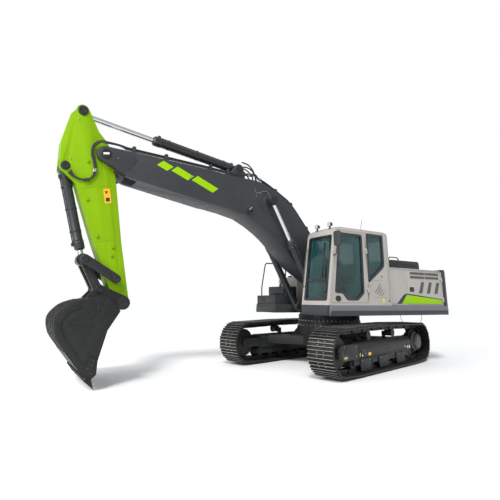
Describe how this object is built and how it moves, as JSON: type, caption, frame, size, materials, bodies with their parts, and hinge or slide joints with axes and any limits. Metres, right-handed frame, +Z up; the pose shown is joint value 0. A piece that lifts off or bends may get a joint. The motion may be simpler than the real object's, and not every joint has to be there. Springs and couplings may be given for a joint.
{
  "type": "crawler excavator",
  "caption": "Tracked hydraulic excavator with a turning upper structure, glazed cab, goose-necked boom, lime arm and toothed digging bucket.",
  "frame": {"origin": "on the ground, at the middle of the footprint of the whole machine at rest", "axes": "+X the way the cab and the boom face, +Y the operator's left, +Z up; the undercarriage stands turned 13.95 degrees anticlockwise under the upper structure"},
  "size_m": [9.9998, 4.2655, 5.3532],
  "materials": {
    "track_steel": "worn dark steel",
    "undercarriage_paint": "satin dark paint",
    "deck_grey": "satin",
    "engine_paint": "satin",
    "panel_grey": "semi-gloss warm grey",
    "tinted_glass": "green tint",
    "seat_fabric": "woven",
    "cab_plastic": "grained",
    "black_steel": "satin",
    "boom_grey": "satin dark grey",
    "lime_green": "semi-gloss lime",
    "bucket_paint": "satin, worn at the lip",
    "linkage_paint": "satin",
    "cylinder_paint": "gloss",
    "rod_chrome": "polished"
  },
  "bodies": {
    "undercarriage": {"carbody": "undercarriage_paint", "slew_ring": "undercarriage_paint", "track_frame_left": "undercarriage_paint", "track_frame_right": "undercarriage_paint", "track_left": "track_steel", "track_right": "track_steel", "idler_left": "undercarriage_paint", "idler_right": "undercarriage_paint", "sprocket_left": "undercarriage_paint", "sprocket_right": "undercarriage_paint", "roller_bank_left": "undercarriage_paint", "roller_bank_right": "undercarriage_paint"},
    "upper_structure": {"main_deck": "deck_grey", "side_skirt_left": "deck_grey", "side_skirt_right": "deck_grey", "cab_shell": "panel_grey", "quarter_glass": "tinted_glass", "right_glass": "tinted_glass", "rear_glass": "tinted_glass", "windshield_lower": "tinted_glass", "windshield_upper": "tinted_glass", "operator_seat": "seat_fabric", "console_left": "cab_plastic", "console_right": "cab_plastic", "travel_controls": "cab_plastic", "housing_shell": "panel_grey", "counterweight": "deck_grey", "engine_block": "engine_paint", "hydraulic_tank": "panel_grey", "fuel_tank": "panel_grey", "tool_box": "deck_grey", "handrail_right": "black_steel", "mirror_left": "cab_plastic"},
    "cab_door": {"cab_door": "panel_grey", "door_glass": "tinted_glass"},
    "radiator_door": {"radiator_door": "panel_grey"},
    "pump_door": {"pump_door": "panel_grey"},
    "engine_hood": {"engine_hood": "deck_grey"},
    "boom": {"boom": "boom_grey"},
    "boom_barrel_left": {"boom_cylinder_left": "cylinder_paint"},
    "boom_rod_left": {"boom_rod_left": "rod_chrome"},
    "boom_barrel_right": {"boom_cylinder_right": "cylinder_paint"},
    "boom_rod_right": {"boom_rod_right": "rod_chrome"},
    "arm": {"arm": "lime_green"},
    "arm_barrel": {"arm_cylinder": "cylinder_paint"},
    "arm_rod": {"arm_rod": "rod_chrome"},
    "bucket": {"bucket": "bucket_paint"},
    "bucket_barrel": {"bucket_cylinder": "cylinder_paint"},
    "bucket_rod": {"bucket_rod": "rod_chrome"},
    "side_links": {"side_link_left": "linkage_paint", "side_link_right": "linkage_paint"},
    "bucket_link": {"bucket_link": "linkage_paint"}
  },
  "joints": [
    {"name": "slew", "type": "hinge", "parent": "undercarriage", "child": "upper_structure", "pos_m": [-1.9013, 0, 1.2], "axis": [0, 0, 1], "continuous": true},
    {"name": "boom_lift", "type": "hinge", "parent": "upper_structure", "child": "boom", "pos_m": [-1.8013, 0, 1.92], "axis": [0, 1, 0], "range_deg": [-40, 62]},
    {"name": "arm_swing", "type": "hinge", "parent": "boom", "child": "arm", "pos_m": [4.1663, 0, 4.36749], "axis": [0, -1, 0], "range_deg": [-22, 82]},
    {"name": "bucket_curl", "type": "hinge", "parent": "arm", "child": "bucket", "pos_m": [3.63377, 0, 1.46596], "axis": [0, -1, 0], "range_deg": [-155, 6]},
    {"name": "cab_door_swing", "type": "hinge", "parent": "upper_structure", "child": "cab_door", "pos_m": [-1.7038, 1.521, 2.3], "axis": [0, 0, 1], "range_deg": [0, 165]},
    {"name": "radiator_door_swing", "type": "hinge", "parent": "upper_structure", "child": "radiator_door", "pos_m": [-4.6388, 1.451, 1.9], "axis": [0, 0, 1], "range_deg": [0, 95]},
    {"name": "pump_door_swing", "type": "hinge", "parent": "upper_structure", "child": "pump_door", "pos_m": [-2.6988, -1.451, 1.9], "axis": [0, 0, 1], "range_deg": [0, 95]},
    {"name": "engine_hood_lift", "type": "hinge", "parent": "upper_structure", "child": "engine_hood", "pos_m": [-4.3423, 0, 2.41], "axis": [0, -1, 0], "range_deg": [0, 70]},
    {"name": "boom_cylinder_left_swing", "type": "hinge", "parent": "upper_structure", "child": "boom_barrel_left", "pos_m": [-1.2013, 0.46, 1.37], "axis": [0, 1, 0], "range_deg": [-40, 62]},
    {"name": "boom_rod_left_slide", "type": "slide", "parent": "boom_barrel_left", "child": "boom_rod_left", "axis": [0.4907, 0, 0.8713], "range_m": [-0.8, 0.52]},
    {"name": "boom_cylinder_right_swing", "type": "hinge", "parent": "upper_structure", "child": "boom_barrel_right", "pos_m": [-1.2013, -0.46, 1.37], "axis": [0, 1, 0], "range_deg": [-40, 62]},
    {"name": "boom_rod_right_slide", "type": "slide", "parent": "boom_barrel_right", "child": "boom_rod_right", "axis": [0.4907, 0, 0.8713], "range_m": [-0.8, 0.52]},
    {"name": "arm_cylinder_swing", "type": "hinge", "parent": "boom", "child": "arm_barrel", "pos_m": [0.95102, 0, 4.67006], "axis": [0, -1, 0], "range_deg": [-2, 4.5]},
    {"name": "arm_rod_slide", "type": "slide", "parent": "arm_barrel", "child": "arm_rod", "axis": [0.9889, 0, 0.1483], "range_m": [-1.27, 0.345]},
    {"name": "bucket_cylinder_swing", "type": "hinge", "parent": "arm", "child": "bucket_barrel", "pos_m": [4.88755, 0, 4.03178], "axis": [0, -1, 0], "range_deg": [-1, 1]},
    {"name": "bucket_rod_slide", "type": "slide", "parent": "bucket_barrel", "child": "bucket_rod", "axis": [-0.2607, 0, -0.9654], "range_m": [-0.05, 1.245]},
    {"name": "side_links_swing", "type": "hinge", "parent": "arm", "child": "side_links", "pos_m": [3.80714, 0, 1.91199], "axis": [0, -1, 0], "range_deg": [-119, 5]},
    {"name": "bucket_link_swing", "type": "hinge", "parent": "side_links", "child": "bucket_link", "pos_m": [4.41147, 0, 2.26876], "axis": [0, -1, 0], "range_deg": [-3.5, 80]}
  ],
  "couplings": [
    {"joint": "boom_cylinder_left_swing", "follows": "boom_lift", "ratio": 0.9892},
    {"joint": "boom_rod_left_slide", "follows": "boom_lift", "m_per_rad": -0.7297},
    {"joint": "boom_cylinder_right_swing", "follows": "boom_lift", "ratio": 0.9892},
    {"joint": "boom_rod_right_slide", "follows": "boom_lift", "m_per_rad": -0.7297},
    {"joint": "arm_cylinder_swing", "follows": "arm_swing", "ratio": 0.0455},
    {"joint": "arm_rod_slide", "follows": "arm_swing", "m_per_rad": -0.8843},
    {"joint": "bucket_cylinder_swing", "follows": "bucket_curl", "ratio": 0.0004},
    {"joint": "bucket_rod_slide", "follows": "bucket_curl", "m_per_rad": -0.4578},
    {"joint": "side_links_swing", "follows": "bucket_curl", "ratio": 0.7616},
    {"joint": "bucket_link_swing", "follows": "bucket_curl", "ratio": -0.5131}
  ]
}
